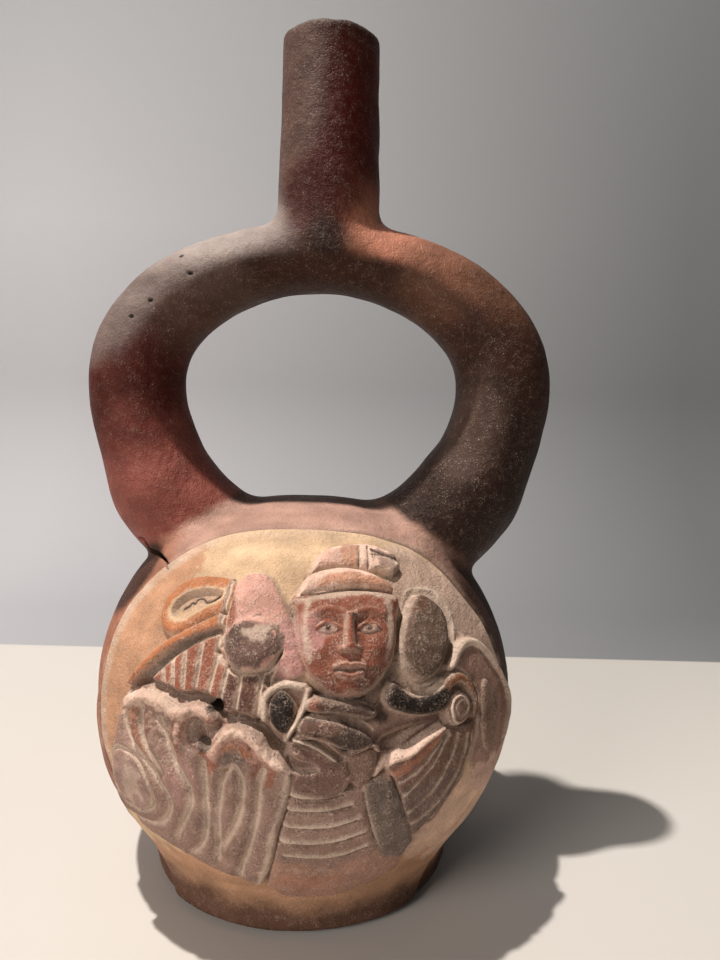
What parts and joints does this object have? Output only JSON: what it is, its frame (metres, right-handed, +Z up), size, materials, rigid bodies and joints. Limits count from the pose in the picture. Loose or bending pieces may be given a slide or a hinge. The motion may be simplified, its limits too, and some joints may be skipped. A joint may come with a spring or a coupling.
{
  "type": "stirrup spout vessel",
  "caption": "Round clay bottle on a low ring base, with a carved relief medallion, a hollow stirrup-shaped tube handle and an upright spout.",
  "frame": {"origin": "middle of the flat underside of the base", "axes": "+X to the right of someone who faces the carved medallion, +Y away from them, through the chamber from front to back, +Z up through the spout"},
  "size_m": [0.1428, 0.1343, 0.25],
  "materials": {
    "fired_clay": "matt fired clay under worn burnished slip: red to grey-black tube and spout, cream and ochre medallion, brown feathers"
  },
  "bodies": {
    "root": {"vessel": "fired_clay"}
  },
  "joints": []
}
